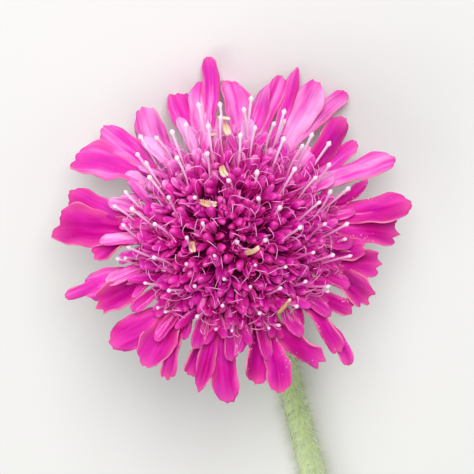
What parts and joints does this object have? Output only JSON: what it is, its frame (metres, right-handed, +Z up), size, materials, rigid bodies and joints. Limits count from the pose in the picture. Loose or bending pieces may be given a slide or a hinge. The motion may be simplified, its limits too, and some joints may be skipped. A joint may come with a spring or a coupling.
{
  "type": "cut scabious flower",
  "caption": "Single cut Macedonian scabious lying on its stalk: domed magenta head of small florets with pale styles, fringed by fanned rays over green bracts.",
  "frame": {"origin": "on the surface that the flower lies on, at the middle of its footprint", "axes": "+Z up from the surface, +Y from the cut end of the stalk towards the head"},
  "size_m": [0.0412, 0.1336, 0.0243],
  "materials": {
    "stem": "soft pale green plant stalk with short white hairs",
    "involucre": "green bracts with short white hairs",
    "ray_florets": "thin satin magenta petals with lengthwise veins",
    "disc_florets": "small satin magenta florets with pale pink styles"
  },
  "bodies": {
    "root": {"stem": "stem", "involucre": "involucre", "ray_florets": "ray_florets", "disc_florets": "disc_florets"}
  },
  "joints": []
}
